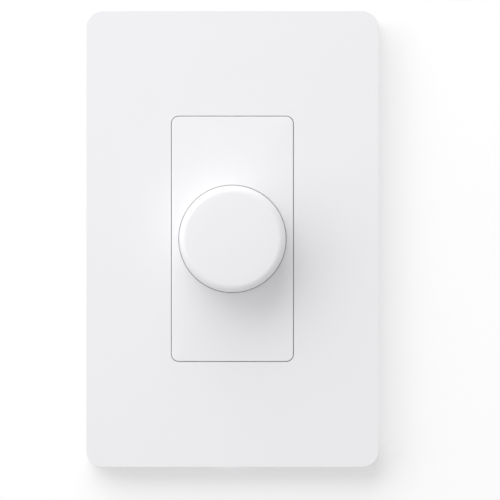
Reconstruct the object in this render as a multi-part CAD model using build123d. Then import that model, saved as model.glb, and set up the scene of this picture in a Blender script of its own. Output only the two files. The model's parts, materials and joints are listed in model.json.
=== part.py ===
from build123d import *
import math
import os

# A dimmer switch for a wall box: snap-on faceplate, flush insert, one knob that turns and presses, and the
# electronics in a rear housing. X points right and Z up as seen from the room, and Y points into the wall.
# The origin is the middle of the wall box at the wall's surface, so all that faces the room has a negative y.
# Sizes are in millimetres.

# Fits shared by several pieces
running_fit = 0.05  # radial, a shaft in its bearing
thread_fit = 0.05  # radial, a screw in its tapped hole
passing_fit = 0.3  # radial, a screw or pin through a clear hole
cover_gap = 0.15  # around the insert and the knob, seen from the room as a fine line
part_gap = 0.2  # between moulded pieces that pass one another

# Faceplate
plate_width = 79.4
plate_height = 123.8
plate_wall = 2.0
plate_corner = 4.6
plate_edge_round = 0.7
plate_collar_wall = 1.2
plate_collar_height = 1.2
ridge_height = 0.7
ridge_width = 0.9
ridge_length = 7.0
pry_notch_width = 10.0
pry_notch_depth = 1.5

# Spacings of the screws, which with this plate are those that every wall box of its kind shares
box_screw_spacing = 0.67318 * plate_height
screw_rows_apart = 6.75  # from a box screw to the plate screw beyond it
plate_screw_spacing = box_screw_spacing + 2 * screw_rows_apart

# Mounting plate behind the faceplate
tray_gap = 0.4
tray_web = 1.5
tray_rim = 1.2
tray_rib = 1.2
tray_screw_gap = 0.4  # around the box screws' heads
snap_inset = 25.0  # from the faceplate's corners to the middle of each snap

# Insert
insert_width = 33.0
insert_height = 0.53635 * plate_height
insert_corner = 2.0
insert_front_wall = 1.8
insert_rim = 1.3
insert_edge_round = 0.25
well_wall = 1.0
well_floor = 1.2
hook_width = 3.6
hook_wall = 1.2
hook_catch = 0.9
hook_length = 1.4  # behind the yoke
hook_inset_x = 2.9
hook_inset_z = 7.0

# Knob
knob_side_margin = 1.95  # from the insert's sides
knob_diameter = insert_width - 2 * knob_side_margin
knob_height = 14.0  # in front of the faceplate
knob_edge_round = 2.0
knob_crown = 0.35
knob_draft = 1.1  # degrees
knob_wall = 1.6
knob_front_wall = 2.0
knob_rear_gap = 0.8
knob_ribs = 6
rib_wall = 1.0
hub_radius = 5.6
clip_wall = 0.6
clip_width = 2.5
clip_opening = 50.0  # degrees
press_travel = 0.7

# Encoder: shaft, bushing, frame, rotor and push switch
shaft_radius = 3.0
shaft_flat = 1.5  # from the axis to the flat that the knob fits
shaft_end_gap = 0.4
drive_half_width = 2.2
shaft_tip_radius = 1.4
collar_radius = 3.5
collar_thickness = 0.6
collar_recess = 0.8
end_play = 0.05
bushing_radius = 3.75
bushing_reach = 1.4  # in front of the nut
washer_radius = 5.5
washer_thickness = 0.3
nut_across_flats = 11.0
nut_thickness = 2.0
frame_sheet = 0.4
flange_thickness = 1.0
encoder_width = 13.6
rotor_radius = 4.8
rotor_thickness = 1.8
rotor_grooves = 24
groove_radius = 0.45
groove_depth = 0.3
detent_sheet = 0.2
detent_width = 1.0
detent_bump = 0.32
detent_arc = 150.0  # degrees
detent_gap = 0.5
dome_radius = 2.5
dome_sheet = 0.15
encoder_floor = 0.8
pin_width = 0.6
contact_spacing = 2.5
pin_reach = 0.8  # behind the board

# Yoke and what fastens it
wall_gap = 0.1  # from the yoke to the wall, so that the faceplate's rim bears on the wall
yoke_thickness = 1.5
yoke_overlap = 4.5  # past the housing's upper and lower ends
yoke_corner = 2.0
strap_width = 20.0
strap_end = 4.58  # past the plate screws
ear_width = 6.5
ear_height = 8.0
ear_slit = 1.0
ear_bridge = 2.4
slot_width = 4.4
slot_length = 8.0
antenna_width = 20.0
antenna_height = 12.0
box_screw_radius = 1.75
box_screw_neck = 1.3
box_screw_head = 3.45
box_screw_length = 25.4
plate_screw_head = 3.3
plate_screw_length = 7.5
screw_head_height = 1.9
oval_head_height = 1.1
retainer_width = 7.5
retainer_thickness = 1.0
ground_tab_length = 9.5
ground_tab_height = 7.4
flap_bend = 0.4  # inner radius where the tab is folded back
flap_relief = 0.8  # height of the notches at the bend's ends
ground_screw_radius = 2.05
ground_screw_head = 3.4
ground_screw_length = 7.0

# Rear housing
housing_width = 44.5
housing_height = 0.804 * box_screw_spacing
housing_depth = 33.0
housing_wall = 2.0
housing_corner = 3.0
housing_draft = 1.0  # degrees
housing_edge_round = 1.2
housing_lip = 3.0  # the straight band behind the yoke
housing_step = 0.6  # from the band in to the drafted sides
gauge_length = 14.0  # the groove that shows how far to strip a wire
gauge_width = 2.4
gauge_depth = 0.7
gauge_margin = 6.0  # from the housing's upper end to the middle of the groove
corner_boss_radius = 3.0
corner_boss_depth = 12.0
corner_boss_inset = 1.0  # from the inner walls to the boss's axis
housing_screw_radius = 1.45
housing_screw_head = 2.6
housing_screw_length = 10.0
bay_rise = 0.2164 * housing_height  # from the middle of the housing to the middle of a bay
bay_height = 0.1642 * housing_height
bay_reach = 8.0  # from the housing's side inwards
bay_wall = 1.5
bay_edge = 0.8  # bevel round the mouth of a bay

# Terminals in the bays
terminal_screw_radius = 2.0
terminal_screw_head = 4.0
terminal_head_height = 2.2
terminal_depth = 6.0  # from the bay's front wall to the screw's axis
bracket_sheet = 1.0
bracket_width = 8.4
bracket_length = 9.0
bracket_foot_inset = 0.7  # from the screw's axis outwards
wire_space = 2.1
clamp_sheet = 1.0
clamp_width = 8.0
clamp_notch = 1.0

# Boards
board_thickness = 1.6
board_edge_gap = 1.5
board_screw_radius = 1.0
board_screw_head = 1.9
board_screw_head_height = 1.3
board_screw_length = 5.5
pillar_radius = 2.4
pillar_inset = 3.6
post_height = 3.9
post_place_x = 0.364 * housing_width
post_place_z = 0.388 * housing_height

# Control board's parts
radio_width = 17.0
radio_height = 15.0
antenna_rise = 0.2985 * housing_height
radio_board_thickness = 0.8
shield_width = 14.0
shield_height = 10.0
shield_depth = 2.0
shield_sheet = 0.2
chip_gap = 1.8  # from the board screw's head below it
chip_thickness = 1.2
chip_leads = 6
chip_lead_width = 0.4
link_pins = 6
link_spacing = 2.54
link_pin_width = 0.64
link_body = 2.5
link_place_z = 0.291 * housing_height

# Power board's parts
choke_radius = 0.135 * housing_width
choke_ring = 2.8  # from its hole to its outside
choke_height = 5.0
choke_turns = 14
choke_wound = 300.0  # degrees of the ring that the turns cover
wire_width = 0.7
choke_place_x = -0.202 * housing_width
capacitor_width = 15.0
capacitor_height = 11.0
capacitor_depth = 6.0
capacitor_place_z = 0.179 * housing_height
can_side_gap = 1.0
can_height = 12.0
can_spacing = 9.0
transformer_width = 15.0
transformer_height = 0.194 * housing_height
transformer_depth = 11.5
transformer_leg = 2.6
bobbin_wall = 0.8
fuse_radius = 3.6
fuse_height = 8.0
fuse_place_x = 0.054 * housing_width
varistor_radius = 0.101 * housing_width
varistor_thickness = 3.6
varistor_place_x = 0.256 * housing_width
lead_width = 0.8
lead_length = 2.0

# Power transistors on the yoke
transistor_gap = 2.0  # between the two
transistor_body = 9.0
transistor_tab = 6.0
transistor_thickness = 4.5
tab_thickness = 1.3
transistor_hole_inset = 2.8
transistor_lead_spacing = 2.54
transistor_lead_gap = 0.8  # from the leads to the control board
transistor_screw_radius = 1.5
transistor_screw_head = 2.7
pad_thickness = 0.3
pad_margin = 0.6

# Depths, from the room into the wall
yoke_back = -wall_gap
yoke_front = yoke_back - yoke_thickness
tray_front = yoke_front - tray_web
plate_front = tray_front - oval_head_height - tray_gap - plate_wall
floor_back = yoke_front - frame_sheet
floor_front = floor_back - well_floor
washer_front = floor_front - washer_thickness
nut_front = washer_front - nut_thickness
bushing_front = nut_front - bushing_reach
knob_front = plate_front - knob_height
knob_rear = floor_front - press_travel - knob_rear_gap
knob_inside = knob_front + knob_front_wall
hub_rear = bushing_front - press_travel - end_play - shaft_end_gap
shaft_front = knob_inside + shaft_end_gap
flange_back = yoke_front + flange_thickness
collar_front = flange_back - collar_recess + end_play
collar_back = collar_front + collar_thickness
rotor_front = collar_back + press_travel + part_gap
rotor_back = rotor_front + rotor_thickness
encoder_floor_front = rotor_back + part_gap
drive_back = encoder_floor_front - press_travel - end_play
dome_top = encoder_floor_front + encoder_floor
dome_seat = dome_top + press_travel + part_gap
board_front = dome_seat + encoder_floor
board_back = board_front + board_thickness
bay_front = board_back + bay_wall
housing_floor = housing_depth - housing_wall
power_back = housing_floor - post_height
power_front = power_back - board_thickness
terminal_y = bay_front + terminal_depth

# Radii, half sizes and places that several pieces share
window_width = insert_width + 2 * cover_gap
window_height = insert_height + 2 * cover_gap
well_radius = knob_diameter / 2 + cover_gap
encoder_half = encoder_width / 2
cavity_radius = rotor_radius + detent_gap + detent_sheet + part_gap
bay_inside = housing_width / 2 - bay_reach
bay_low = bay_rise - bay_height / 2
bay_high = bay_rise + bay_height / 2
inner_half_width = housing_width / 2 - housing_wall
inner_half_height = housing_height / 2 - housing_wall
corner_x = inner_half_width - corner_boss_inset
corner_z = inner_half_height - corner_boss_inset
pillar_x = inner_half_width - pillar_inset
hook_x = insert_width / 2 - hook_inset_x
hook_outer_z = insert_height / 2 - hook_inset_z
strap_height = plate_screw_spacing + 2 * strap_end
yoke_height = housing_height + 2 * yoke_overlap
can_radius = (inner_half_height - bay_high - bay_wall) / 2 - can_side_gap
board_half_width = inner_half_width - board_edge_gap
encoder_frame_half = encoder_half + end_play + frame_sheet
chip_room = board_half_width - encoder_frame_half
chip_width = 0.6 * chip_room
transistor_room = hook_x - hook_width / 2 - part_gap - pad_margin
transistor_width = transistor_room - transistor_gap / 2
transistor_place_x = transistor_room - transistor_width / 2
transistor_bottom = board_edge_gap - inner_half_height
transistor_lead_z = transistor_bottom + transistor_tab + transistor_body
control_board_bottom = transistor_lead_z + 1.5 * lead_width + transistor_lead_gap
ground_tab_x = -strap_width / 2
ground_z = -(housing_height / 2 + part_gap + ground_tab_height / 2)
box_screw_places = [(0, sign * box_screw_spacing / 2) for sign in (-1, 1)]
plate_screw_places = [(0, sign * plate_screw_spacing / 2) for sign in (-1, 1)]
corner_places = [(x * corner_x, z * corner_z) for x in (-1, 1) for z in (-1, 1)]
bay_corners = [(x, z) for x in (-1, 1) for z in (-1, 1)]
post_places = [(x * post_place_x, z * post_place_z) for x in (-1, 1) for z in (-1, 1)]
pillar_places = [(x * pillar_x, 0) for x in (-1, 1)]


def at_depth(y):
    """The plane parallel to the wall at depth y, seen from the room."""
    return Plane.XZ.offset(-y)


def slab(outline, front, back):
    """An outline as seen from the room, extruded between two depths."""
    return extrude(at_depth(back) * outline, amount=back - front, dir=(0, -1, 0))


def block(x, y, z):
    """A block between a low and a high value in each direction."""
    sizes = [high - low for low, high in (x, y, z)]
    middle = [(low + high) / 2 for low, high in (x, y, z)]
    return Pos(*middle) * Box(*sizes)


def span(middle, width):
    """The low and high value of a width about its middle."""
    return (middle - width / 2, middle + width / 2)


def mirrored_span(low, high, side):
    """A stretch on the right, or its mirror image on the left."""
    return (low, high) if side > 0 else (-high, -low)


def turned(*points):
    """A solid of revolution about the knob's axis, from its corners as radius and depth."""
    return revolve(make_face(Polyline(*points, close=True)), axis=Axis.Y)


def rounded(width, height, radius):
    """A rounded rectangle whose corners never need more than the room they have."""
    return RectangleRounded(width, height, min(radius, 0.49 * min(width, height)))


def holes(places, radius):
    """One outline with a circle at each place."""
    return Sketch() + [Pos(x, z) * Circle(radius) for x, z in places]


def screw(head_radius, head_height, thread_radius, length, neck_radius=0, neck_length=0):
    """A screw along +Z with a bevelled head, its underside at the origin. A neck may follow the head."""
    point = thread_radius / 3
    shank = [(thread_radius, 0)]
    if neck_length:
        shank = [(neck_radius, 0), (neck_radius, neck_length), (thread_radius, neck_length)]
    profile = Polyline(
        (0, -head_height),
        (head_radius - head_height / 2, -head_height),
        (head_radius, -head_height / 2),
        (head_radius, 0),
        *shank,
        (thread_radius, length - point),
        (thread_radius - point, length),
        (0, length),
        close=True,
    )
    return revolve(Plane.XZ * make_face(profile), axis=Axis.Z)


def driven(fastener, point, direction):
    """Puts a screw's head seat at a point, its tip towards a direction."""
    return Plane(origin=point, z_dir=direction) * fastener


def snaps(distance_x, distance_z, feature):
    """Repeats a feature drawn at the right-hand side on all four sides, twice on each."""
    copies = []
    for quarter in range(4):
        across, along = (distance_x, distance_z) if quarter % 2 == 0 else (distance_z, distance_x)
        for sign in (-1, 1):
            copies.append(Rot(0, 90 * quarter, 0) * feature(across, sign * (along - snap_inset)))
    return copies


def snap_ridge(distance, along):
    """The small ridge inside the faceplate's rim, with its point towards the mounting plate."""
    wall = distance - plate_wall
    root = 0.2
    middle = -(tray_web + ridge_width) / 2
    section = Polygon(
        (wall + root, middle - ridge_width / 2),
        (wall + root, middle + ridge_width / 2),
        (wall, middle + ridge_width / 2),
        (wall - ridge_height, middle),
        (wall, middle - ridge_width / 2),
        align=None,
    )
    return extrude(Pos(0, 0, along) * section, amount=ridge_length / 2, both=True)


def snap_notch(distance, along):
    """The opening in the mounting plate's rim that a ridge snaps into."""
    outside = distance - plate_wall
    middle = -(tray_web + ridge_width) / 2
    return block(
        (outside - tray_gap - 2 * tray_rim, outside),
        span(middle, ridge_width + 2 * part_gap),
        span(along, ridge_length + 4 * part_gap),
    )


def make_faceplate():
    body = slab(rounded(plate_width, plate_height, plate_corner), plate_front, 0)
    body = fillet(body.faces().sort_by(Axis.Y)[0].edges(), plate_edge_round)
    hollow = rounded(plate_width - 2 * plate_wall, plate_height - 2 * plate_wall, plate_corner - plate_wall)
    body -= slab(hollow, plate_front + plate_wall, 0)
    collar = rounded(
        window_width + 2 * plate_collar_wall,
        window_height + 2 * plate_collar_wall,
        insert_corner + cover_gap + plate_collar_wall,
    )
    inside = plate_front + plate_wall
    body += slab(collar, inside, inside + plate_collar_height)
    body -= slab(rounded(window_width, window_height, insert_corner + cover_gap), plate_front, 0)
    for ridge in snaps(plate_width / 2, plate_height / 2, snap_ridge):
        body += ridge
    bottom = -plate_height / 2
    return body - block(span(0, pry_notch_width), (-pry_notch_depth, 0), (bottom, bottom + plate_wall))


def make_mounting_plate():
    width = plate_width - 2 * (plate_wall + tray_gap)
    height = plate_height - 2 * (plate_wall + tray_gap)
    corner = plate_corner - plate_wall - tray_gap
    window = rounded(
        window_width + 2 * (plate_collar_wall + tray_gap),
        window_height + 2 * (plate_collar_wall + tray_gap),
        insert_corner + cover_gap + plate_collar_wall + tray_gap,
    )
    cuts = window + holes(box_screw_places, box_screw_head + tray_screw_gap)
    cuts += holes(plate_screw_places, box_screw_radius + passing_fit)
    web = rounded(width, height, corner) - cuts
    rim = rounded(width, height, corner)
    rim -= rounded(width - 2 * tray_rim, height - 2 * tray_rim, corner - tray_rim)
    rib_x = (housing_width + width) / 4 + tray_rib
    cross_rib_z = plate_height / 2 - snap_inset - ridge_length
    ribs = Sketch()
    for side in (-1, 1):
        ribs += Pos(side * rib_x, 0) * Rectangle(tray_rib, height - 2 * tray_rim)
        for z in (-cross_rib_z, 0, cross_rib_z):
            middle = (rib_x + width / 2 - tray_rim) / 2
            ribs += Pos(side * middle, z) * Rectangle(width / 2 - tray_rim - rib_x, tray_rib)
    body = slab(web, tray_front, yoke_front)
    body += slab(rim, tray_front, yoke_back)
    body += slab(ribs, yoke_front, yoke_back)
    for notch in snaps(plate_width / 2, plate_height / 2, snap_notch):
        body -= notch
    return body


def make_insert():
    body = slab(rounded(insert_width, insert_height, insert_corner), plate_front, yoke_front)
    body = fillet(body.faces().sort_by(Axis.Y)[0].edges(), insert_edge_round)
    inside = plate_front + insert_front_wall
    hollow = rounded(
        insert_width - 2 * insert_rim, insert_height - 2 * insert_rim, insert_corner - insert_rim
    )
    body -= slab(hollow, inside, yoke_front)
    body += slab(Circle(well_radius + well_wall), inside, floor_back)
    rib_reach = (well_radius, insert_height / 2 - insert_rim / 2)
    for side in (-1, 1):
        for end in (-1, 1):
            body += block(
                span(side * insert_width / 5, rib_wall),
                (inside, floor_front),
                mirrored_span(*rib_reach, end),
            )
            body += make_hook(side, end)
    body -= slab(Circle(well_radius), plate_front, floor_front)
    body -= slab(Circle(bushing_radius + part_gap), floor_front, floor_back)
    return body


def make_hook(side, end):
    """A snap hook that reaches back through the yoke and catches behind it."""
    tip = yoke_back + hook_length
    shoulder = yoke_back + end_play
    stem = block(
        span(side * hook_x, hook_width),
        (plate_front + insert_front_wall, tip),
        mirrored_span(hook_outer_z - hook_wall, hook_outer_z, end),
    )
    catch = Polygon(
        (shoulder, end * (hook_outer_z - hook_wall / 2)),
        (shoulder, end * (hook_outer_z + hook_catch)),
        (tip - hook_length / 2, end * (hook_outer_z + hook_catch)),
        (tip, end * hook_outer_z),
        (tip, end * (hook_outer_z - hook_wall / 2)),
        align=None,
    )
    barb = extrude(Plane.YZ.offset(side * hook_x) * catch, amount=hook_width / 2, both=True)
    return stem + barb


def flatted(radius, flat):
    """A circle cut off by one flat above its middle, the section of the shaft's front end."""
    keep = Pos(0, (flat - 2 * radius) / 2) * Rectangle(3 * radius, flat + 2 * radius)
    return Circle(radius) & keep


def two_flats(radius, half_width):
    """A circle with two opposite flats, the section that drives the rotor."""
    return Circle(radius) & Rectangle(2 * half_width, 3 * radius)


def make_knob():
    rear = knob_diameter / 2
    slope = math.tan(math.radians(knob_draft))
    front = rear - slope * (knob_rear - knob_front)
    inner_rear = rear - knob_wall
    inner_front = inner_rear - slope * (knob_rear - knob_inside)
    crown = TangentArc((0, knob_front), (front, knob_front + knob_crown), tangent=(1, 0))
    rest = Polyline(
        (front, knob_front + knob_crown),
        (rear, knob_rear),
        (inner_rear, knob_rear),
        (inner_front, knob_inside),
        (0, knob_inside),
        (0, knob_front),
    )
    profile = make_face(crown + rest)
    corner = profile.vertices().sort_by_distance((front, knob_front + knob_crown, 0))[0]
    body = revolve(fillet(corner, knob_edge_round), axis=Axis.Y)
    body += slab(Circle(hub_radius), knob_inside, hub_rear)
    clip_front = hub_rear - clip_width - rib_wall
    for step in range(knob_ribs):
        rib = block(
            (hub_radius - rib_wall, inner_front + rib_wall / 2),
            (knob_inside - rib_wall / 2, clip_front - rib_wall),
            span(0, rib_wall),
        )
        body += Rot(0, 360 / knob_ribs * (step + 0.5), 0) * rib
    groove = Circle(2 * hub_radius) - Circle(hub_radius - clip_wall)
    body -= slab(groove, clip_front, clip_front + clip_width)
    bore = flatted(shaft_radius + running_fit, shaft_flat + running_fit)
    return body - slab(bore, knob_inside + shaft_end_gap / 2, hub_rear)


def make_knob_clip():
    """The open spring ring that grips the knob's hub."""
    front = hub_rear - clip_width - rib_wall
    ring = slab(Circle(hub_radius) - Circle(hub_radius - clip_wall), front, front + clip_width)
    half = math.radians(clip_opening / 2)
    far = 2 * hub_radius
    wedge = Polygon((0, 0), (far * math.sin(half), -far), (-far * math.sin(half), -far), align=None)
    return ring - slab(wedge, front, front + clip_width)


def make_shaft():
    body = slab(flatted(shaft_radius, shaft_flat), shaft_front, hub_rear + end_play)
    body += slab(Circle(shaft_radius), hub_rear + end_play, collar_front)
    body += slab(Circle(collar_radius), collar_front, collar_back)
    body += slab(two_flats(shaft_radius, drive_half_width), collar_back, drive_back)
    return body + slab(Circle(shaft_tip_radius), drive_back, dome_top - end_play)


def make_bushing():
    body = slab(Circle(bushing_radius), bushing_front, yoke_front)
    body += slab(rounded(encoder_width, encoder_width, rib_wall), yoke_front, flange_back)
    body -= slab(Circle(shaft_radius + running_fit), bushing_front, flange_back)
    return body - slab(Circle(collar_radius + 2 * running_fit), flange_back - collar_recess, flange_back)


def make_washer():
    ring = Circle(washer_radius) - Circle(bushing_radius + thread_fit)
    return slab(ring, washer_front, floor_front)


def make_nut():
    corners = nut_across_flats / 2 / math.cos(math.radians(30))
    return slab(RegularPolygon(corners, 6) - Circle(bushing_radius + thread_fit), nut_front, washer_front)


def make_encoder_frame():
    """One sheet folded round the encoder, with two legs that snap into the board."""
    half = encoder_frame_half
    body = slab(Rectangle(2 * half, encoder_width), floor_back, yoke_front)
    body -= slab(Circle(bushing_radius + thread_fit), floor_back, yoke_front)
    for side in (-1, 1):
        wall_x = mirrored_span(half - frame_sheet, half, side)
        body += block(wall_x, (yoke_front, board_front), span(0, encoder_width * 0.7))
        body += block(wall_x, (board_front, board_back + pin_reach), span(0, 2 * rib_wall))
    return body


def pin_places():
    """Three contacts of the turning switch below, two of the push switch above."""
    row = encoder_half - pin_width
    return [(x * contact_spacing, -row) for x in (-1, 0, 1)] + [(x * contact_spacing, row) for x in (-1, 1)]


def pins(length_front, length_back):
    pin = Rectangle(pin_width, pin_width)
    return [slab(Pos(x, z) * pin, length_front, length_back) for x, z in pin_places()]


def make_encoder_base():
    """The moulded case with the rotor's cavity, the detent spring's slots and the push switch's pocket."""
    body = slab(rounded(encoder_width, encoder_width, rib_wall), flange_back, board_front)
    body -= slab(Circle(cavity_radius), flange_back, encoder_floor_front)
    body -= slab(Circle(shaft_tip_radius + part_gap), encoder_floor_front, dome_seat)
    body -= slab(Circle(dome_radius + part_gap), dome_top - dome_sheet - part_gap, dome_seat)
    for pin in pins(dome_seat, board_front):
        body -= pin
    low, high = span((rotor_front + rotor_back) / 2, detent_width + 2 * part_gap)
    for angle in detent_tab_angles():
        slot = block((rotor_radius, encoder_half - 2 * detent_sheet), (low, high), span(0, 3 * detent_sheet))
        body -= Rot(0, angle, 0) * slot
    return body


def make_pins():
    return pins(dome_seat, board_back + pin_reach)


def make_rotor():
    """The turning switch's wheel. Its grooves give the knob its clicks."""
    rim = Circle(rotor_radius)
    middle = rotor_radius - groove_depth + groove_radius
    for step in range(rotor_grooves):
        angle = math.radians(360 / rotor_grooves * step + 90)
        rim -= Pos(middle * math.cos(angle), middle * math.sin(angle)) * Circle(groove_radius)
    rim -= two_flats(shaft_radius + running_fit, drive_half_width + running_fit)
    return slab(rim, rotor_front, rotor_back)


def detent_tab_angles():
    """Turns that take the right-hand side to the two ends of the detent spring."""
    inset = math.degrees(detent_sheet / rotor_radius) / 2
    return [turn * (detent_arc / 2 - inset) - 90 for turn in (-1, 1)]


def make_detent_spring():
    """A leaf round half of the rotor. The bump in its middle drops into a groove."""
    inner = rotor_radius + detent_gap
    outer = inner + detent_sheet
    front, back = span((rotor_front + rotor_back) / 2, detent_width)
    half = math.radians(detent_arc / 2)
    far = 2 * outer
    reach = [
        (far * math.sin(half * part), far * math.cos(half * part))
        for part in (-1, -0.5, 0, 0.5, 1)
    ]
    leaf = (Circle(outer) - Circle(inner)) & Polygon((0, 0), *reach, align=None)
    bump_middle = rotor_radius - detent_sheet / 4 + detent_bump
    bump = Circle(detent_bump) - Pos(0, detent_bump) * Rectangle(3 * detent_bump, detent_bump)
    leaf += Pos(0, bump_middle) * bump
    leaf += Pos(0, (bump_middle + outer) / 2) * Rectangle(detent_sheet, outer - bump_middle)
    body = slab(leaf, front, back)
    for angle in detent_tab_angles():
        tab = block((inner, encoder_half - 3 * detent_sheet), (front, back), span(0, detent_sheet))
        body += Rot(0, angle, 0) * tab
    return body


def make_push_dome():
    """The snap disc under the shaft's tip."""
    outer = TangentArc((0, dome_top), (dome_radius, dome_seat - dome_sheet), tangent=(1, 0))
    inner = TangentArc((0, dome_top + dome_sheet), (dome_radius, dome_seat), tangent=(1, 0))
    sides = Line((dome_radius, dome_seat - dome_sheet), (dome_radius, dome_seat))
    middle = Line((0, dome_top + dome_sheet), (0, dome_top))
    return revolve(make_face([outer, sides, inner, middle]), axis=Axis.Y)


def ears():
    """The yoke's strap with its plaster ears, which the slits let an installer break off."""
    outline = rounded(strap_width, strap_height, yoke_corner)
    slit_length = (ear_height - ear_bridge) / 2
    slit = Rectangle(ear_slit, slit_length)
    for end in (-1, 1):
        ear_z = end * (strap_height - ear_height) / 2
        outline += Pos(0, ear_z) * rounded(strap_width + 2 * ear_width, ear_height, yoke_corner)
        for side in (-1, 1):
            for edge in (-1, 1):
                slit_z = ear_z + edge * (ear_height - slit_length) / 2
                outline -= Pos(side * (strap_width + ear_slit) / 2, slit_z) * slit
    return outline


def yoke_openings():
    """What is punched through the yoke, apart from the countersinks."""
    opening = encoder_width + 2 * (frame_sheet + 4 * part_gap)
    cuts = rounded(opening, opening, yoke_corner)
    cuts += Pos(0, antenna_rise) * rounded(antenna_width, antenna_height, yoke_corner)
    cuts += holes(plate_screw_places, box_screw_radius + thread_fit)
    cuts += holes(transistor_holes(), transistor_screw_radius + thread_fit)
    hook_slot = Rectangle(hook_width + 2 * part_gap, hook_wall + hook_catch + 2 * part_gap)
    for end in (-1, 1):
        cuts += Pos(0, end * box_screw_spacing / 2) * SlotOverall(slot_length, slot_width)
        for side in (-1, 1):
            cuts += Pos(side * hook_x, end * (hook_outer_z + (hook_catch - hook_wall) / 2)) * hook_slot
    return cuts


def make_yoke():
    """The metal strap that everything hangs on. One lower corner is folded back for the ground screw."""
    flap_z = span(ground_z, ground_tab_height)
    flap_x = (ground_tab_x - yoke_thickness, ground_tab_x)
    plate = rounded(housing_width, yoke_height, yoke_corner)
    cut_width = housing_width / 2 + ground_tab_x
    cut_top = flap_z[1] + flap_relief
    cut = Rectangle(cut_width, cut_top + yoke_height / 2)
    plate -= Pos(ground_tab_x - cut_width / 2, (cut_top - yoke_height / 2) / 2) * cut
    outline = plate + ears() - yoke_openings()
    for z in (flap_z[0] - flap_relief / 2, flap_z[1] + flap_relief / 2):
        outline -= Pos(ground_tab_x, z) * Rectangle(2 * flap_bend, flap_relief)
    body = slab(outline, yoke_front, yoke_back)
    body += block(flap_x, (yoke_front, ground_tab_length), flap_z)
    outer_bend = ((flap_x[0], yoke_front), yoke_thickness + flap_bend)
    inner_bend = ((flap_x[1], yoke_back), flap_bend)
    for corner, radius in (outer_bend, inner_bend):
        bend = body.edges().filter_by(Axis.Z).sort_by_distance((*corner, ground_z))[0]
        body = fillet(bend, radius)
    for x, z in corner_places:
        body -= driven(make_countersink(thread_fit), (x, yoke_front, z), (0, 1, 0))
    hole = Plane.YZ.offset(flap_x[0]) * Pos(ground_y(), ground_z) * Circle(ground_screw_radius + thread_fit)
    return body - extrude(hole, amount=yoke_thickness)


def ground_y():
    return ground_tab_length - ground_screw_head - part_gap


def transistor_holes():
    return [(side * transistor_place_x, transistor_bottom + transistor_hole_inset) for side in (-1, 1)]


def make_box_screws():
    neck = yoke_thickness + retainer_thickness + part_gap
    shape = screw(box_screw_head, screw_head_height, box_screw_radius, box_screw_length, box_screw_neck, neck)
    return [driven(shape, (x, yoke_front, z), (0, 1, 0)) for x, z in box_screw_places]


def make_retainers():
    outline = rounded(retainer_width, retainer_width * 0.8, rib_wall) - Circle(box_screw_neck + running_fit)
    back = yoke_back + retainer_thickness
    return [slab(Pos(x, z) * outline, yoke_back, back) for x, z in box_screw_places]


def make_plate_screws():
    shape = screw(plate_screw_head, oval_head_height, box_screw_radius, plate_screw_length)
    return [driven(shape, (x, tray_front, z), (0, 1, 0)) for x, z in plate_screw_places]


def make_ground_screw():
    shape = screw(ground_screw_head, terminal_head_height, ground_screw_radius, ground_screw_length)
    return driven(shape, (ground_tab_x - yoke_thickness, ground_y(), ground_z), (1, 0, 0))


def make_countersink(clearance):
    """A countersunk screw along +Z, its flat head's face at the origin."""
    head = housing_screw_head + clearance
    thread = housing_screw_radius + clearance
    cone = head - thread
    profile = Polyline(
        (0, 0),
        (head, 0),
        (thread, cone),
        (thread, housing_screw_length),
        (0, housing_screw_length),
        close=True,
    )
    return revolve(Plane.XZ * make_face(profile), axis=Axis.Z)


def make_housing_screws():
    shape = make_countersink(0)
    return [driven(shape, (x, yoke_front, z), (0, 1, 0)) for x, z in corner_places]


def drafted(width, height, radius, front, back):
    """A block that narrows into the wall by the housing's draft."""
    narrowing = extrude(rounded(width, height, radius), amount=back - front, taper=housing_draft)
    return Plane(origin=(0, front, 0), x_dir=(1, 0, 0), z_dir=(0, 1, 0)) * narrowing


def housing_envelope():
    """The housing's outside: drafted sides with a rounded back, and the straight band in front."""
    width = housing_width - 2 * housing_step
    height = housing_height - 2 * housing_step
    body = drafted(width, height, housing_corner - housing_step, yoke_back, housing_depth)
    body = fillet(body.faces().sort_by(Axis.Y)[-1].edges(), housing_edge_round)
    band = slab(rounded(housing_width, housing_height, housing_corner), yoke_back, housing_lip)
    return body + chamfer(band.faces().sort_by(Axis.Y)[-1].edges(), housing_step / 2)


def mouth_edges(body):
    """The edges round the bays' mouths, on the housing's drafted sides and its back."""
    slope = math.tan(math.radians(housing_draft))
    side = housing_width / 2 - housing_step - slope * (housing_depth - yoke_back) - end_play
    back = housing_depth - housing_edge_round
    edges = ShapeList()
    for edge in body.edges():
        middle = edge.center()
        beside_bay = bay_low - end_play < abs(middle.Z) < bay_high + end_play
        outside = abs(middle.X) > side or middle.Y > back
        if beside_bay and outside and middle.Y > bay_front - end_play:
            edges.append(edge)
    return edges


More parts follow.
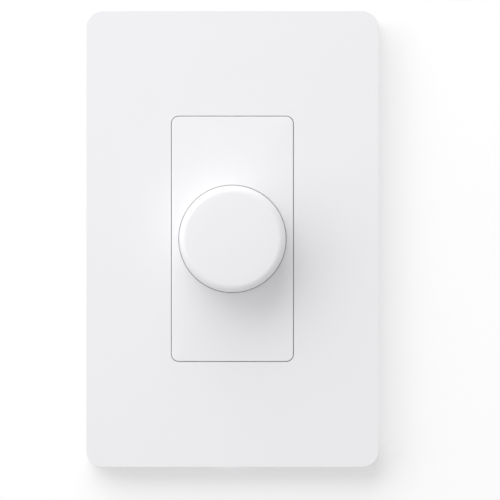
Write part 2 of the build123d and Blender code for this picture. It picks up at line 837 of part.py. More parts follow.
def make_rear_housing():
    """The moulded shell with its terminal bays, screw bosses, board pillars and posts."""
    envelope = housing_envelope()
    width = housing_width - 2 * housing_wall
    height = housing_height - 2 * housing_wall
    body = envelope - drafted(width, height, housing_corner - housing_wall, yoke_back, housing_floor)
    solids = slab(holes(corner_places, corner_boss_radius), yoke_back, corner_boss_depth)
    solids += slab(holes(post_places, pillar_radius), power_back, housing_floor)
    for x, z in pillar_places:
        solids += slab(Pos(x, z) * Circle(pillar_radius), board_back, housing_floor)
        side = 1 if x > 0 else -1
        web_x = mirrored_span(abs(x), housing_width / 2 - housing_wall / 2, side)
        solids += block(web_x, (board_back, housing_floor), span(0, bay_wall))
    for side, end in bay_corners:
        solids += block(
            mirrored_span(bay_inside - bay_wall, housing_width / 2, side),
            (board_back, housing_depth),
            mirrored_span(bay_low - bay_wall, bay_high + bay_wall, end),
        )
    body += solids & envelope
    for side, end in bay_corners:
        body -= block(
            mirrored_span(bay_inside, housing_width, side),
            (bay_front, 2 * housing_depth),
            mirrored_span(bay_low, bay_high, end),
        )
    body = chamfer(mouth_edges(body), bay_edge)
    for side, end in bay_corners:
        body -= bracket_slot(side, end)
        tip = Plane(origin=(0, terminal_y, end * bay_rise), z_dir=(side, 0, 0))
        body -= extrude(tip * Circle(terminal_screw_radius + passing_fit), amount=bay_inside)
    body -= slab(holes(corner_places, housing_screw_radius + thread_fit), yoke_back, housing_screw_length)
    screw_depth = board_screw_length - board_thickness + part_gap
    tapped = board_screw_radius + thread_fit
    body -= slab(holes(pillar_places, tapped), board_back, board_back + screw_depth)
    body -= slab(holes(post_places, tapped), power_back, power_back + screw_depth)
    gauge = Pos(0, housing_height / 2 - gauge_margin) * SlotOverall(gauge_length, gauge_width)
    return body - slab(gauge, housing_depth - gauge_depth, housing_depth)


def bracket_ends():
    """Depths of a bracket's plate, about its screw."""
    return span(terminal_y, bracket_length)


def bracket_slot(side, end):
    """The slot in a bay's inner wall that the bracket's foot passes through."""
    back = bracket_ends()[1]
    return block(
        mirrored_span(bay_inside - 2 * bay_wall, bay_inside, side),
        (back - bracket_sheet - part_gap / 2, back + part_gap / 2),
        mirrored_span(bay_rise + bracket_foot_inset - part_gap, bay_rise + bracket_width / 2 + part_gap, end),
    )


def make_brackets():
    """Brass strips: a tapped plate in the bay, a foot through the wall and a leg down to the power board."""
    front, back = bracket_ends()
    foot_x = bay_inside - bay_wall - part_gap - bracket_sheet
    brackets = []
    for side, end in bay_corners:
        rise = end * bay_rise
        plate_x = mirrored_span(bay_inside, bay_inside + bracket_sheet, side)
        strip = block(plate_x, (front, back), span(rise, bracket_width))
        foot_z = mirrored_span(bay_rise + bracket_foot_inset, bay_rise + bracket_width / 2, end)
        strip += block(
            mirrored_span(foot_x, bay_inside + bracket_sheet, side), (back - bracket_sheet, back), foot_z
        )
        leg_x = mirrored_span(foot_x, foot_x + bracket_sheet, side)
        strip += block(leg_x, (back - bracket_sheet, power_front), foot_z)
        tap = Plane(origin=(0, terminal_y, rise), z_dir=(side, 0, 0))
        strip -= extrude(tap * Circle(terminal_screw_radius + thread_fit), amount=housing_width / 2)
        brackets.append(strip)
    return brackets


def make_clamp_plates():
    """Square plates under the terminal screws' heads, with a turned-in lip at the front."""
    plates = []
    inner = bay_inside + bracket_sheet + wire_space
    for side, end in bay_corners:
        rise = end * bay_rise
        plate_y = span(terminal_y, clamp_width)
        plate = block(mirrored_span(inner, inner + clamp_sheet, side), plate_y, span(rise, clamp_width))
        lip_x = mirrored_span(inner - clamp_notch, inner, side)
        plate += block(lip_x, (plate_y[0], plate_y[0] + clamp_sheet), span(rise, clamp_width))
        hole = Plane(origin=(0, terminal_y, rise), z_dir=(side, 0, 0))
        plate -= extrude(hole * Circle(terminal_screw_radius + passing_fit), amount=housing_width / 2)
        plates.append(plate)
    return plates


def terminal_screws(corners):
    seat = bay_inside + bracket_sheet + wire_space + clamp_sheet
    length = seat - bay_inside + bay_wall - part_gap
    shape = screw(terminal_screw_head, terminal_head_height, terminal_screw_radius, length)
    return [driven(shape, (side * seat, terminal_y, end * bay_rise), (-side, 0, 0)) for side, end in corners]


def make_control_board():
    """The upper board. It sits on the bays' front walls and leaves room below for the transistors."""
    top = inner_half_height - board_edge_gap
    low = control_board_bottom
    outline = Pos(0, (top + low) / 2) * rounded(2 * board_half_width, top - low, rib_wall)
    notch = 2 * (corner_boss_radius + 2 * part_gap)
    for side in (-1, 1):
        outline -= Pos(side * corner_x, corner_z) * Rectangle(notch, notch)
        foot = encoder_frame_half - frame_sheet / 2
        outline -= Pos(side * foot, 0) * Rectangle(2 * frame_sheet, 3 * rib_wall)
    outline -= holes(pillar_places, board_screw_radius + part_gap)
    outline -= holes(pin_places(), pin_width)
    return slab(outline, board_front, board_back)


def make_board_screws():
    shape = screw(board_screw_head, board_screw_head_height, board_screw_radius, board_screw_length)
    front = [driven(shape, (x, board_front, z), (0, 1, 0)) for x, z in pillar_places]
    return front + [driven(shape, (x, power_front, z), (0, 1, 0)) for x, z in post_places]


def make_radio_board():
    outline = Pos(0, antenna_rise) * Rectangle(radio_width, radio_height)
    return slab(outline, board_front - radio_board_thickness, board_front)


def make_radio_shield():
    """A thin metal lid over the radio's parts, open towards its board. The aerial lies beside it."""
    back = board_front - radio_board_thickness
    place = Pos(0, antenna_rise - (radio_height - shield_height) / 2 + rib_wall / 2)
    can = slab(place * rounded(shield_width, shield_height, rib_wall / 2), back - shield_depth, back)
    inside = place * Rectangle(shield_width - 2 * shield_sheet, shield_height - 2 * shield_sheet)
    return can - slab(inside, back - shield_depth + shield_sheet, back)


def make_controller_chip():
    """The processor, a flat square package with leads on two sides."""
    z = board_screw_head + chip_gap + 2 * chip_lead_width + chip_width / 2
    front = board_front - chip_thickness
    place_x = board_half_width - chip_room / 2
    body = block(span(place_x, chip_width), (front, board_front), span(z, chip_width))
    pitch = chip_width / chip_leads
    for side in (-1, 1):
        for step in range(chip_leads):
            lead_x = place_x - chip_width / 2 + pitch * (step + 0.5)
            lead_z = z + side * (chip_width / 2 + chip_lead_width)
            body += block(
                span(lead_x, chip_lead_width),
                (board_front - chip_lead_width, board_front),
                span(lead_z, 2 * chip_lead_width),
            )
    return body


def make_board_link():
    """The row of pins that joins the two boards, with its plastic strip."""
    places = [((step - (link_pins - 1) / 2) * link_spacing, link_place_z) for step in range(link_pins)]
    strip = block(
        span(0, link_pins * link_spacing),
        (board_back, board_back + link_body),
        span(link_place_z, link_body),
    )
    for x, z in places:
        strip += block(span(x, link_pin_width), (board_back, power_front), span(z, link_pin_width))
    return strip


def make_power_board():
    """The lower board, narrow between the terminal bays and wide at both ends."""
    end_z = inner_half_height - board_edge_gap
    waist = 2 * (bay_inside - bay_wall - part_gap)
    outline = rounded(waist, 2 * end_z, rib_wall)
    end_low = bay_high + bay_wall + part_gap
    for end in (-1, 1):
        wide_end = rounded(2 * board_half_width, end_z - end_low, rib_wall)
        outline += Pos(0, end * (end_low + end_z) / 2) * wide_end
    outline -= holes(post_places, board_screw_radius + part_gap)
    return slab(outline, power_front, power_back)


def choke_axis():
    """Where the choke stands on the power board."""
    reach = choke_radius + wire_width + end_play
    return (choke_place_x, power_front - reach, -post_place_z)


def make_choke_core():
    """A ferrite ring about Z with its edges taken off."""
    section = Pos(choke_radius - choke_ring / 2, 0) * Rectangle(choke_ring, choke_height)
    section = chamfer(section.vertices(), wire_width / 2)
    return Pos(*choke_axis()) * revolve(Plane.XZ * section, axis=Axis.Z)


def make_choke_winding():
    """Single loops of wire round the choke's ring, evenly spread over most of it."""
    gap = end_play
    wide = choke_ring + 2 * gap
    high = choke_height + 2 * gap
    outer = chamfer(Rectangle(wide + 2 * wire_width, high + 2 * wire_width).vertices(), wire_width / 2)
    inner = Rectangle(wide, high)
    loop = extrude(Plane.XZ.offset(-wire_width / 2) * (outer - inner), amount=wire_width)
    loop = Pos(choke_radius - choke_ring / 2, 0, 0) * loop
    turns = []
    for step in range(choke_turns):
        angle = 90 + choke_wound * ((step + 0.5) / choke_turns - 0.5)
        turns.append(Pos(*choke_axis()) * Rot(0, 0, angle) * loop)
    return turns


def make_film_capacitor():
    body = block(
        span(0, capacitor_width),
        (power_front - capacitor_height, power_front),
        span(capacitor_place_z, capacitor_depth),
    )
    return fillet(body.edges().filter_by(Axis.Y), rib_wall / 2)


def make_bulk_capacitors():
    """Two cans side by side, each with the rolled groove near its foot."""
    groove = wire_width / 2
    foot = power_front
    top = foot - can_height
    waist = foot - 2 * rib_wall
    cans = []
    for sign in (-1, 0):
        can = turned(
            (0, top),
            (can_radius, top),
            (can_radius, waist - groove),
            (can_radius - groove, waist),
            (can_radius, waist + groove),
            (can_radius, foot),
            (0, foot),
        )
        cans.append(Pos(sign * can_spacing, 0, post_place_z) * can)
    return cans


def make_transformer_core():
    """An E shaped ferrite pair: two outer legs, a middle leg and the yokes that join them."""
    front = power_front - bobbin_wall - transformer_depth
    body = block(span(0, transformer_width), (front, front + transformer_depth), span(0, transformer_height))
    window = transformer_width / 2 - 1.5 * transformer_leg
    for side in (-1, 1):
        window_x = mirrored_span(transformer_leg / 2, transformer_leg / 2 + window, side)
        body -= block(
            window_x,
            (front + transformer_leg, front + transformer_depth - transformer_leg),
            span(0, transformer_height),
        )
    return body


def make_transformer_bobbin():
    """The winding round the middle leg, and the plastic foot that stands on the board."""
    front = power_front - bobbin_wall - transformer_depth + transformer_leg + end_play
    back = power_front - bobbin_wall - transformer_leg - end_play
    outer_x = transformer_width / 2 - transformer_leg - end_play
    winding = block(
        span(0, 2 * outer_x), (front, back), span(0, transformer_height + 2 * bobbin_wall)
    ) - block(
        span(0, transformer_leg + 2 * end_play), (front, back), span(0, transformer_height + 2 * end_play)
    )
    foot = block(
        span(0, transformer_width), (power_front - bobbin_wall, power_front), span(0, transformer_height)
    )
    return [winding, foot]


def make_fuse():
    """A round radial fuse on its two leads."""
    body = turned(
        (0, power_front - fuse_height),
        (fuse_radius, power_front - fuse_height),
        (fuse_radius, power_front - rib_wall),
        (0, power_front - rib_wall),
    )
    for sign in (-1, 1):
        lead_x = span(sign * fuse_radius / 2, lead_width)
        body += block(lead_x, (power_front - rib_wall, power_front), span(0, lead_width))
    return Pos(fuse_place_x, 0, -post_place_z) * body


def make_varistor():
    """A coated disc that stands on edge on two leads."""
    middle = (varistor_place_x, power_front - lead_length - varistor_radius, -post_place_z)
    body = Pos(*middle) * Cylinder(varistor_radius, varistor_thickness)
    body = chamfer(body.edges().filter_by(GeomType.CIRCLE), varistor_thickness / 4)
    for sign in (-1, 1):
        body += block(
            span(varistor_place_x + sign * varistor_radius / 2, lead_width),
            (middle[1], power_front),
            span(middle[2], lead_width),
        )
    return body


def make_transistors():
    """Two power transistors lying on the yoke, their leads bent back to the power board."""
    tab_front = yoke_back + pad_thickness
    back = tab_front + transistor_thickness
    tab_top = transistor_bottom + transistor_tab
    body_top = transistor_lead_z
    screw_holes = holes(transistor_holes(), transistor_screw_radius + passing_fit)
    pieces = []
    for side in (-1, 1):
        x = side * transistor_place_x
        piece = block(
            span(x, transistor_width), (tab_front, tab_front + tab_thickness), (transistor_bottom, tab_top)
        )
        piece += block(span(x, transistor_width), (tab_front, back), (tab_top, body_top))
        lead_y = tab_front + transistor_thickness / 2
        for step in (-1, 0, 1):
            lead_x = span(x + step * transistor_lead_spacing, lead_width)
            piece += block(lead_x, (lead_y, lead_y + lead_width), (body_top, body_top + 1.5 * lead_width))
            piece += block(
                lead_x, (lead_y, power_front), (body_top + lead_width / 2, body_top + 1.5 * lead_width)
            )
        pieces.append(piece - slab(screw_holes, tab_front, tab_front + tab_thickness))
    return pieces


def make_thermal_pad():
    """The soft insulating sheet between the transistors and the yoke."""
    width = 2 * transistor_place_x + transistor_width + 2 * pad_margin
    low = transistor_bottom - pad_margin
    high = transistor_lead_z + pad_margin
    outline = Pos(0, (low + high) / 2) * rounded(width, high - low, rib_wall)
    outline -= holes(transistor_holes(), transistor_screw_radius + passing_fit)
    return slab(outline, yoke_back, yoke_back + pad_thickness)


def make_transistor_screws():
    grip = pad_thickness + tab_thickness
    seat = yoke_back + grip
    shape = screw(transistor_screw_head, screw_head_height, transistor_screw_radius, grip + yoke_thickness)
    return [driven(shape, (x, seat, z), (0, -1, 0)) for x, z in transistor_holes()]


pieces = {
    "faceplate": make_faceplate(),
    "mounting_plate": make_mounting_plate(),
    "plate_screws": make_plate_screws(),
    "insert": make_insert(),
    "knob": make_knob(),
    "knob_clip": make_knob_clip(),
    "yoke": make_yoke(),
    "box_screws": make_box_screws(),
    "screw_retainers": make_retainers(),
    "ground_screw": make_ground_screw(),
    "encoder_shaft": make_shaft(),
    "encoder_bushing": make_bushing(),
    "encoder_washer": make_washer(),
    "encoder_nut": make_nut(),
    "encoder_frame": make_encoder_frame(),
    "encoder_base": make_encoder_base(),
    "encoder_pins": make_pins(),
    "encoder_rotor": make_rotor(),
    "detent_spring": make_detent_spring(),
    "push_dome": make_push_dome(),
    "control_board": make_control_board(),
    "radio_board": make_radio_board(),
    "radio_shield": make_radio_shield(),
    "controller_chip": make_controller_chip(),
    "board_link": make_board_link(),
    "board_screws": make_board_screws(),
    "power_board": make_power_board(),
    "choke_core": make_choke_core(),
    "choke_winding": make_choke_winding(),
    "film_capacitor": make_film_capacitor(),
    "bulk_capacitors": make_bulk_capacitors(),
    "transformer_core": make_transformer_core(),
    "transformer_bobbin": make_transformer_bobbin(),
    "fuse": make_fuse(),
    "varistor": make_varistor(),
    "power_transistors": make_transistors(),
    "transistor_screws": make_transistor_screws(),
    "thermal_pad": make_thermal_pad(),
    "rear_housing": make_rear_housing(),
    "housing_screws": make_housing_screws(),
    "terminal_brackets": make_brackets(),
    "clamp_plates": make_clamp_plates(),
    "brass_screws": terminal_screws(bay_corners[1:]),
    "silver_screw": terminal_screws(bay_corners[:1]),
}

os.makedirs("parts", exist_ok=True)
for name, shape in pieces.items():
    solids = shape if isinstance(shape, list) else [shape]
    export_step(Compound([solid for item in solids for solid in item.solids()]), f"parts/{name}.step")
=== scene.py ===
import json
import math
from dataclasses import dataclass, replace

import bpy
from bpy.props import FloatProperty, FloatVectorProperty, PointerProperty
from bpy.types import Operator, Panel, PropertyGroup
from mathutils import Matrix, Vector

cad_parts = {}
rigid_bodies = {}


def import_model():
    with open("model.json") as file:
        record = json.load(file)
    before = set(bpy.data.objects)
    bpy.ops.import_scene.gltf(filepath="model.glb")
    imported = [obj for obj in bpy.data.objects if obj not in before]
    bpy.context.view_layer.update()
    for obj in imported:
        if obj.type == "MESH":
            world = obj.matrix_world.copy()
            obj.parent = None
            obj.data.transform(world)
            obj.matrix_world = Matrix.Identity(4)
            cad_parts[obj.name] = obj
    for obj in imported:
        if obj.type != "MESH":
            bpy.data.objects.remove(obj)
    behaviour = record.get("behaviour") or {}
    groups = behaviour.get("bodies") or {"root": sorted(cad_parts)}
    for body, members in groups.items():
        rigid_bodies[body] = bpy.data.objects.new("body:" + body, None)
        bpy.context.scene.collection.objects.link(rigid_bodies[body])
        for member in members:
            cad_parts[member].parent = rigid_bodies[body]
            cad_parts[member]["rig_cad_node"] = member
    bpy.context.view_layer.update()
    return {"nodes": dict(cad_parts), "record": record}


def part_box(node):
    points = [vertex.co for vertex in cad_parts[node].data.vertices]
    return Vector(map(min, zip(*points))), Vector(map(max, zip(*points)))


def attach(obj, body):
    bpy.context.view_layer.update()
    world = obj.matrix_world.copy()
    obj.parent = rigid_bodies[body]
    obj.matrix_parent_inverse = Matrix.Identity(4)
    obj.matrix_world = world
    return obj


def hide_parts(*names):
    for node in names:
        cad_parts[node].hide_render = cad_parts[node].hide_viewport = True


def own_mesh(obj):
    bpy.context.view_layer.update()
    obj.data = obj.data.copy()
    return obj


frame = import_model()

bl_info = {
    "name": "Wall dimmer dressing",
    "version": (1, 0, 0),
    "blender": (4, 5, 0),
    "location": "View3D > Sidebar > Dimmer",
    "description": "Finishes and threaded screws for a wall dimmer switch, and the wall and lamps round it",
    "category": "Object",
}

MM = 0.001
MICRON = MM / 1000
FINE = MM / 10000  # how near points lie that count as one

SIDES = (-1, 1)
CORNERS = [(side, end) for side in SIDES for end in SIDES]
INTO_WALL = (0, 1, 0)

WHITE = (1, 1, 1, 1)
TIN = (0.75, 0.75, 0.72)

# Shader maths


class Signal:
    """An output socket that can be reckoned with as if it were a number."""

    def __init__(self, nodes, socket):
        self.nodes = nodes
        self.socket = socket

    def maths(self, operation, first, second):
        return self.nodes.maths(operation, first, second)

    def __add__(self, other):
        return self.maths("ADD", self, other)

    __radd__ = __add__

    def __sub__(self, other):
        return self.maths("SUBTRACT", self, other)

    def __rsub__(self, other):
        return self.maths("SUBTRACT", other, self)

    def __mul__(self, other):
        return self.maths("MULTIPLY", self, other)

    __rmul__ = __mul__

    def __truediv__(self, other):
        return self.maths("DIVIDE", self, other)

    def __rtruediv__(self, other):
        return self.maths("DIVIDE", other, self)

    def __gt__(self, other):
        return self.maths("GREATER_THAN", self, other)

    def __lt__(self, other):
        return self.maths("LESS_THAN", self, other)

    def __abs__(self):
        return self.maths("ABSOLUTE", self, 0)


class Nodes:
    """The node tree of a material or of the world, empty at first."""

    def __init__(self, owner):
        owner.use_nodes = True
        self.tree = owner.node_tree
        self.tree.nodes.clear()

    def feed(self, node, sockets):
        """Gives a node's sockets their values or links."""
        for key, value in sockets.items():
            if isinstance(value, Signal):
                self.tree.links.new(value.socket, node.inputs[key])
            else:
                node.inputs[key].default_value = value

    def add(self, kind, settings=None, sockets=None):
        """Adds any node: its settings first, then the values or links of its sockets."""
        made = self.tree.nodes.new(kind)
        for key, value in (settings or {}).items():
            setattr(made, key, value)
        self.feed(made, sockets or {})
        return made

    def node(self, kind, settings=None, sockets=None, output=0):
        """Adds a node and gives back one of its outputs."""
        return Signal(self, self.add(kind, settings, sockets).outputs[output])

    def maths(self, operation, first, second=0.0):
        return self.node("ShaderNodeMath", {"operation": operation}, {0: first, 1: second})


class Finish(Nodes):
    """One material: a Principled shader, and the nodes that feed it."""

    def __init__(self, name, colour, roughness, metallic=0.0, coat=0.0):
        self.material = bpy.data.materials.new(name)
        self.material.diffuse_color = (*colour, 1)
        super().__init__(self.material)
        look = {
            "Base Color": (*colour, 1),
            "Roughness": roughness,
            "Metallic": metallic,
            "Coat Weight": coat,
            "Coat Roughness": 0.15,
        }
        self.shader = self.add("ShaderNodeBsdfPrincipled", sockets=look)
        self.shown = Signal(self, self.shader.outputs[0])
        self.end = self.add("ShaderNodeOutputMaterial", sockets={"Surface": self.shown})

    def place(self):
        return self.node("ShaderNodeTexCoord", output="Object")

    def axis(self, name):
        """How far along X, Y or Z the point on the surface lies, in metres."""
        return self.node("ShaderNodeSeparateXYZ", sockets={0: self.place()}, output=name)

    def noise(self, scale, detail=2.0, stretch=(1, 1, 1)):
        """Soft grain: scale is how many lumps there are in a metre."""
        point = self.node("ShaderNodeMapping", sockets={"Vector": self.place(), "Scale": stretch})
        return self.node("ShaderNodeTexNoise", sockets={"Vector": point, "Scale": scale, "Detail": detail})

    def sharpen(self, value, low, high):
        """Spreads the part of a value between low and high over 0 to 1."""
        ends = {"Value": value, "From Min": low, "From Max": high}
        return self.node("ShaderNodeMapRange", {"clamp": True}, ends)

    def blend(self, factor, first, second):
        """A colour between two colours."""
        first, second = (v if isinstance(v, Signal) else (*v, 1) for v in (first, second))
        return self.node("ShaderNodeMix", {"data_type": "RGBA"}, {0: factor, 6: first, 7: second}, output=2)

    def bumps(self, height, depth):
        """Raises the surface by a height map whose full range is depth metres."""
        normal = self.node("ShaderNodeBump", sockets={"Height": height, "Distance": depth, "Strength": 1})
        self.feed(self.shader, {"Normal": normal})

    def paint(self, **sockets):
        names = {"colour": "Base Color", "roughness": "Roughness", "metallic": "Metallic"}
        self.feed(self.shader, {names[key]: value for key, value in sockets.items()})

    def painted(self, key):
        """What feeds one of the shader's sockets now."""
        return Signal(self, self.shader.inputs[key].links[0].from_socket)

    def dress(self, *nodes):
        """Gives the finish to CAD nodes."""
        for name in nodes:
            for slot in frame["nodes"][name].material_slots:
                slot.material = self.material


def shade(colour, share):
    return tuple(channel * share for channel in colour)


def moulded(name, colour, roughness, grain=5200, depth=5 * MICRON, coat=0.0):
    """Injection moulded plastic: fine tool grain, faint flow clouds and an uneven gloss."""
    finish = Finish(name, colour, roughness, coat=coat)
    clouds = finish.noise(28, 2, (1, 1, 0.5))
    patches = finish.noise(420, 3)
    finish.paint(
        colour=finish.blend(clouds, shade(colour, 0.985), shade(colour, 1.005)),
        roughness=roughness - 0.04 + 0.08 * patches,
    )
    finish.bumps(finish.noise(grain, 3) + 0.5 * patches, depth)
    return finish


def metal(name, colour, roughness, streak=(1, 1, 0.02), scale=2600, depth=2 * MICRON, mottle=0.12):
    """Bright metal with drawn or rolled streaks along one way and a faint mottle in its plating."""
    finish = Finish(name, colour, roughness, metallic=1.0)
    streaks = finish.noise(scale, 3, streak)
    spots = finish.sharpen(finish.noise(260, 4), 0.35, 0.7)
    tone = finish.blend(streaks, shade(colour, 0.86), colour)
    finish.paint(
        colour=finish.blend(spots * mottle, tone, shade(colour, 0.6)),
        roughness=roughness - 0.08 + 0.12 * streaks + 0.1 * spots,
    )
    finish.bumps(streaks, depth)
    return finish


def turned_metal(name, colour, roughness, depth=2 * MICRON):
    """Metal of a screw: an even grain, the same every way."""
    return metal(name, colour, roughness, streak=(1, 1, 1), scale=700, depth=depth)


def two_tone(finish, mask, colour, roughness, metallic=1.0):
    """Lets the masked part of a finish be another material, such as tinned leads on a black body."""
    below = finish.painted("Base Color")
    old = finish.painted("Roughness")
    finish.paint(
        colour=finish.blend(mask, below, colour),
        roughness=old + mask * (roughness - old),
        metallic=mask * metallic,
    )


# Modelling


def only(obj):
    """Makes one object the selected and active one."""
    bpy.ops.object.select_all(action="DESELECT")
    obj.select_set(True)
    bpy.context.view_layer.objects.active = obj


def to_edit(obj):
    only(obj)
    bpy.ops.object.mode_set(mode="EDIT")
    bpy.ops.mesh.select_all(action="SELECT")


def to_object():
    bpy.ops.object.mode_set(mode="OBJECT")


def pick(obj, chosen):
    """Opens a mesh for editing with the points selected that a test chooses."""
    to_edit(obj)
    bpy.ops.mesh.select_mode(type="VERT")
    bpy.ops.mesh.select_all(action="DESELECT")
    to_object()
    for vertex in obj.data.vertices:
        vertex.select = chosen(vertex.co)
    bpy.ops.object.mode_set(mode="EDIT")


def with_modifier(obj, kind, **settings):
    """Adds a modifier and applies it."""
    only(obj)
    bpy.ops.object.modifier_add(type=kind)
    modifier = obj.modifiers[-1]
    for key, value in settings.items():
        setattr(modifier, key, value)
    bpy.ops.object.modifier_apply(modifier=modifier.name)


def clean(obj):
    """Joins what touches, and turns all faces outwards."""
    to_edit(obj)
    bpy.ops.mesh.remove_doubles(threshold=MICRON)
    bpy.ops.mesh.normals_make_consistent(inside=False)
    to_object()


def smooth_by_angle(obj, degrees):
    only(obj)
    bpy.ops.object.shade_smooth_by_angle(angle=math.radians(degrees))


def outline(name, points):
    """A chain of edges in the XZ plane, drawn from point to point."""
    bpy.ops.object.select_all(action="DESELECT")
    bpy.ops.mesh.primitive_plane_add(size=MM)
    obj = bpy.context.object
    obj.name = name
    to_edit(obj)
    bpy.ops.mesh.merge(type="CENTER")
    bpy.ops.transform.translate(value=(points[0][0], 0, points[0][1]))
    for here, there in zip(points, points[1:]):
        step = (there[0] - here[0], 0, there[1] - here[1])
        bpy.ops.mesh.extrude_vertices_move(TRANSFORM_OT_translate={"value": step})
    to_object()
    return obj


def turned(name, points, steps, **screw):
    """A solid of revolution about Z, or a helix where the screw settings give it a rise."""
    obj = outline(name, points)
    joined = {"use_merge_vertices": True, "merge_threshold": MICRON}
    with_modifier(obj, "SCREW", steps=steps, render_steps=steps, **joined, **screw)
    clean(obj)
    return obj


def combine(obj, tool, operation):
    """Joins, cuts or keeps the common part of two solids, and removes the second."""
    with_modifier(obj, "BOOLEAN", object=tool, operation=operation, solver="EXACT")
    bpy.data.objects.remove(tool, do_unlink=True)


# Screws


@dataclass
class ScrewSize:
    """A screw's sizes. It lies along +Z from its seat, or from the top of a countersunk head."""

    head: float  # radius of the head
    radius: float  # of the thread
    length: float
    pitch: float
    height: float = 0  # how far the head stands out
    cone: float = 0  # how deep a countersunk head goes
    neck: float = 0  # radius of the bare neck, or 0 for nine tenths of the thread's
    neck_length: float = 0.15 * MM
    recess: float = 0  # reach of the arms of the cross recess
    recess_depth: float = 0
    slot: float = 0  # width of the slot, which is a little over half as deep as the recess


def thread(name, radius, depth, pitch, start, end, steps):
    """A helical thread along +Z with flat ends."""
    root = radius - depth
    rise, crest, fall = 0.42 * pitch, 0.55 * pitch, 0.97 * pitch  # where each part of the outline ends
    profile = [(root, 0), (radius, rise), (radius, crest), (root, fall), (root, pitch)]
    low = start - pitch
    turns = math.ceil((end - low) / pitch) + 1
    obj = turned(name, [(r, low + z) for r, z in profile], steps, screw_offset=pitch, iterations=turns)
    for height, side in ((start, "clear_inner"), (end, "clear_outer")):
        to_edit(obj)
        bpy.ops.mesh.bisect(
            plane_co=(0, 0, height), plane_no=(0, 0, 1), use_fill=True, threshold=FINE, **{side: True}
        )
        to_object()
    clean(obj)
    return obj


def domed(radius, height, rim, arcs=6):
    """Points over a head: flat in the middle, round towards its rim. Heads reach towards -Z."""
    points = [(0, -height)]
    spread = 0.45 * radius
    for step in range(arcs + 1):
        angle = math.pi / 2 * step / arcs
        points.append((radius - spread + spread * math.sin(angle), -rim - (height - rim) * math.cos(angle)))
    return points


def head_points(size, neck):
    """The outline of a head from its top to its neck, and how far along the screw the neck ends."""
    if size.cone:
        step, neck_length = 0.1 * MM, 0.3 * MM
        points = [(0, 0), (size.head, 0), (size.radius, size.cone), (neck, size.cone + step)]
        return points, size.cone + neck_length
    burr = 0.04 * MM
    points = domed(size.head, size.height, 0.35 * size.height)
    points += [(size.head, -burr), (size.head - burr, 0), (neck, 0)]
    return points, size.neck_length


def slotted(name, length, width, top, bottom, taper):
    """A cutter for one arm of a recess, narrower at its bottom."""
    bpy.ops.object.select_all(action="DESELECT")
    middle = (top + bottom) / 2
    bpy.ops.mesh.primitive_cube_add(size=1, location=(0, 0, middle), scale=(length, width, bottom - top))
    obj = bpy.context.object
    obj.name = name
    bpy.ops.object.transform_apply(location=True, rotation=True, scale=True)
    pick(obj, lambda point: point.z > middle)
    bpy.ops.transform.resize(value=(taper, taper, 1), center_override=(0, 0, bottom))
    to_object()
    return obj


def cut_recess(body, size):
    """Sinks the cross recess and the slot into a screw's head."""
    top = -size.height
    above = top - 0.5 * MM
    slot_depth = 0.55 * size.recess_depth
    if size.recess:
        width = 0.28 * size.recess + 0.2 * MM
        taper = 0.6
        for turn in (0, math.pi / 2):
            arm = slotted("arm", 2 * size.recess, width, above, top + size.recess_depth, taper)
            only(arm)
            arm.rotation_euler.z = turn
            bpy.ops.object.transform_apply(location=False, rotation=True, scale=False)
            combine(body, arm, "DIFFERENCE")
    if size.slot:
        arm = slotted("arm", 3 * size.head, size.slot, above, top + slot_depth, 1)
        combine(body, arm, "DIFFERENCE")


def make_screw(name, size, steps=28):
    """A machine screw along +Z with its head's seat at the origin, as the CAD's plain one is."""
    skin = 0.01 * MM  # how far solids reach into each other where they are joined
    depth = 0.55 * size.pitch
    core = size.radius - depth
    neck = size.neck or 0.9 * size.radius
    head, shank = head_points(size, neck)
    step = shank + 0.1 * MM
    overlap = shank + 0.6 * size.pitch
    stub = [(neck, shank), (core - skin, step), (core - skin, overlap), (0, overlap)]
    body = turned(name, head + stub, steps)

    start = shank + 0.05 * MM
    screw_thread = thread("thread", size.radius, depth, size.pitch, start, size.length, steps)
    wide = size.radius + 2 * skin
    tip = size.radius / 3
    end = size.length - skin
    run_in = [(0, shank), (core, shank), (wide, shank + 0.5 * size.pitch)]
    run_out = [(wide, size.length - tip), (wide - tip, end), (0, end)]
    limit = turned("limit", run_in + run_out, steps + 5)  # so that no facet lies along one of the thread's
    combine(screw_thread, limit, "INTERSECT")
    combine(body, screw_thread, "UNION")
    cut_recess(body, size)
    clean(body)
    smooth_by_angle(body, 32)
    return body


def drive(pattern, name, point, direction, roll):
    """Copies a screw to its place, its tip towards a direction."""
    only(pattern)
    bpy.ops.object.duplicate(linked=False)
    copy = bpy.context.object
    copy.name = name
    turn = Vector(direction).to_track_quat("Z", "Y").to_matrix().to_4x4()
    copy.matrix_world = Matrix.Translation(point) @ turn @ Matrix.Rotation(math.radians(roll), 4, "Z")
    bpy.ops.object.transform_apply(location=True, rotation=True, scale=True)
    return copy


# Copies of CAD nodes


def smooth_copy(node, name):
    """A copy of a CAD node with its loose triangles joined and its normals worked out afresh."""
    only(frame["nodes"][node])
    bpy.ops.object.duplicate(linked=False)
    copy = bpy.context.object
    copy.name = name
    copy.data.name = name
    del copy["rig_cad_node"]
    bpy.ops.mesh.customdata_custom_splitnormals_clear()
    clean(copy)
    smooth_by_angle(copy, 25)
    return copy


